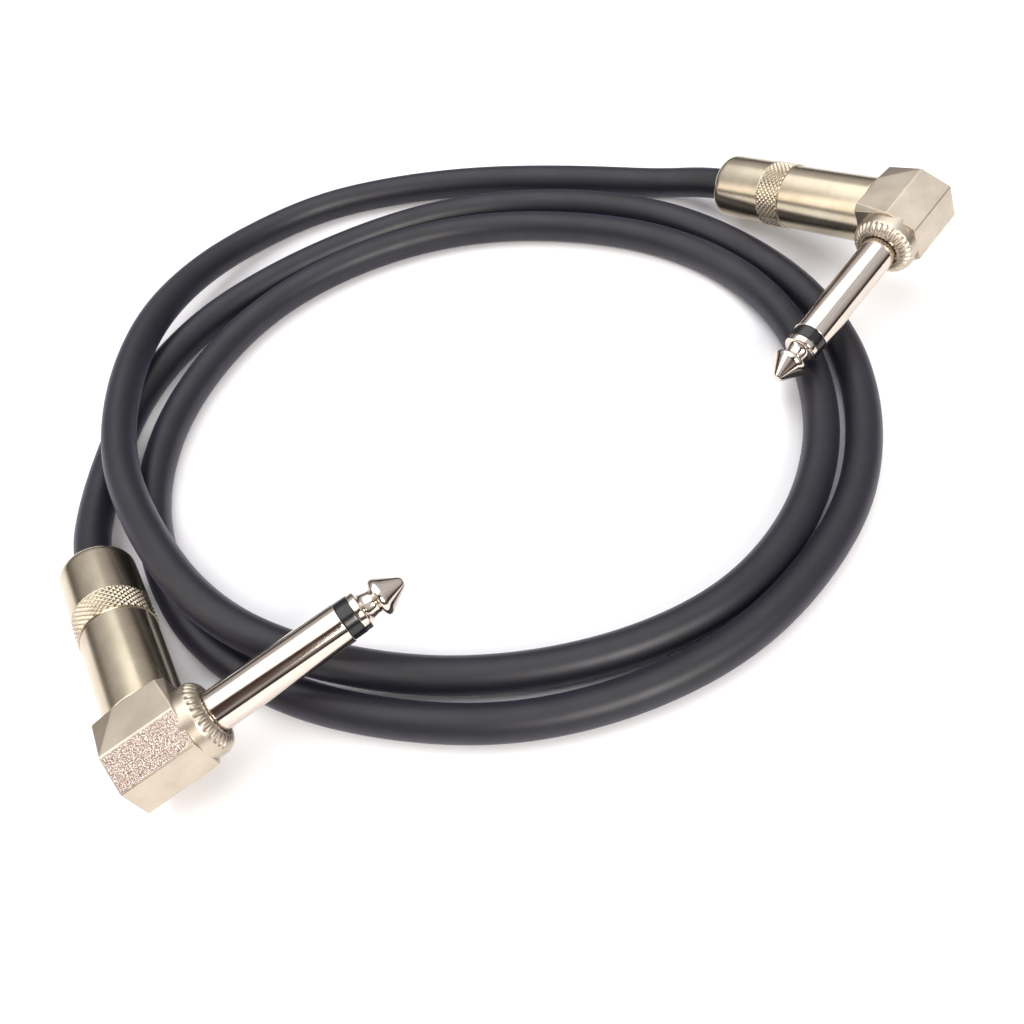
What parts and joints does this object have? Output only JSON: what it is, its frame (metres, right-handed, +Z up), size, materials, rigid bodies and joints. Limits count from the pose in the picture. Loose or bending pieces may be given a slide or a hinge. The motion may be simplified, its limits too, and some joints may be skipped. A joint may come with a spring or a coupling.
{
  "type": "instrument cable",
  "caption": "Short coiled instrument cable with a right-angle jack plug at each end; each barrel unscrews along the cable.",
  "frame": {"origin": "on the floor under the middle of the box around the two plugs, leaving the cable out", "axes": "+Z up from the floor the cable lies on, +X towards plug b along the longer side of the box around the plugs"},
  "size_m": [0.1612, 0.1439, 0.0237],
  "materials": {
    "nickel_casting": "satin nickel plate on a zinc casting, the nose faces blasted",
    "nickel_shell": "satin nickel plate on turned brass",
    "bright_nickel": "bright nickel plate on turned brass",
    "black_nylon": "black moulded nylon, glossy",
    "pressed_fibre": "pressed fibre washer",
    "tinned_brass": "tinned brass strip",
    "bare_copper": "bare copper wire",
    "solder": "tin solder",
    "liner_tube": "extruded insulating tube",
    "black_pvc": "flexible black PVC, matte",
    "white_polyethylene": "extruded polyethylene"
  },
  "bodies": {
    "cable_and_plugs": {"elbow_a": "nickel_casting", "finger_sleeve_a": "bright_nickel", "tip_insulator_a": "black_nylon", "tip_contact_a": "bright_nickel", "rear_washer_a": "pressed_fibre", "ground_terminal_a": "tinned_brass", "tip_terminal_a": "tinned_brass", "shield_tail_a": "bare_copper", "tip_solder_a": "solder", "ground_solder_a": "solder", "elbow_b": "nickel_casting", "finger_sleeve_b": "bright_nickel", "tip_insulator_b": "black_nylon", "tip_contact_b": "bright_nickel", "rear_washer_b": "pressed_fibre", "ground_terminal_b": "tinned_brass", "tip_terminal_b": "tinned_brass", "shield_tail_b": "bare_copper", "tip_solder_b": "solder", "ground_solder_b": "solder", "cable_jacket": "black_pvc", "cable_shield": "bare_copper", "cable_insulation": "white_polyethylene", "cable_conductor": "bare_copper"},
    "liner_a_body": {"liner_a": "liner_tube"},
    "barrel_a_body": {"barrel_a": "nickel_shell"},
    "liner_b_body": {"liner_b": "liner_tube"},
    "barrel_b_body": {"barrel_b": "nickel_shell"}
  },
  "joints": [
    {"name": "barrel_a_travel", "type": "slide", "parent": "cable_and_plugs", "child": "liner_a_body", "axis": [-0.3618, 0.9279, -0.0906], "range_m": [0, 0.00525]},
    {"name": "barrel_a_turn", "type": "hinge", "parent": "liner_a_body", "child": "barrel_a_body", "pos_m": [-0.06092, -0.05193, 0.00947], "axis": [-0.3618, 0.9279, -0.0906], "range_deg": [0, 2520]},
    {"name": "barrel_b_travel", "type": "slide", "parent": "cable_and_plugs", "child": "liner_b_body", "axis": [-0.5834, 0.7799, -0.2267], "range_m": [0, 0.00525]},
    {"name": "barrel_b_turn", "type": "hinge", "parent": "liner_b_body", "child": "barrel_b_body", "pos_m": [0.07204, 0.02419, 0.01646], "axis": [-0.5834, 0.7799, -0.2267], "range_deg": [0, 2520]}
  ],
  "couplings": [
    {"joint": "barrel_a_travel", "follows": "barrel_a_turn", "m_per_rad": 0.00011937},
    {"joint": "barrel_b_travel", "follows": "barrel_b_turn", "m_per_rad": 0.00011937}
  ]
}
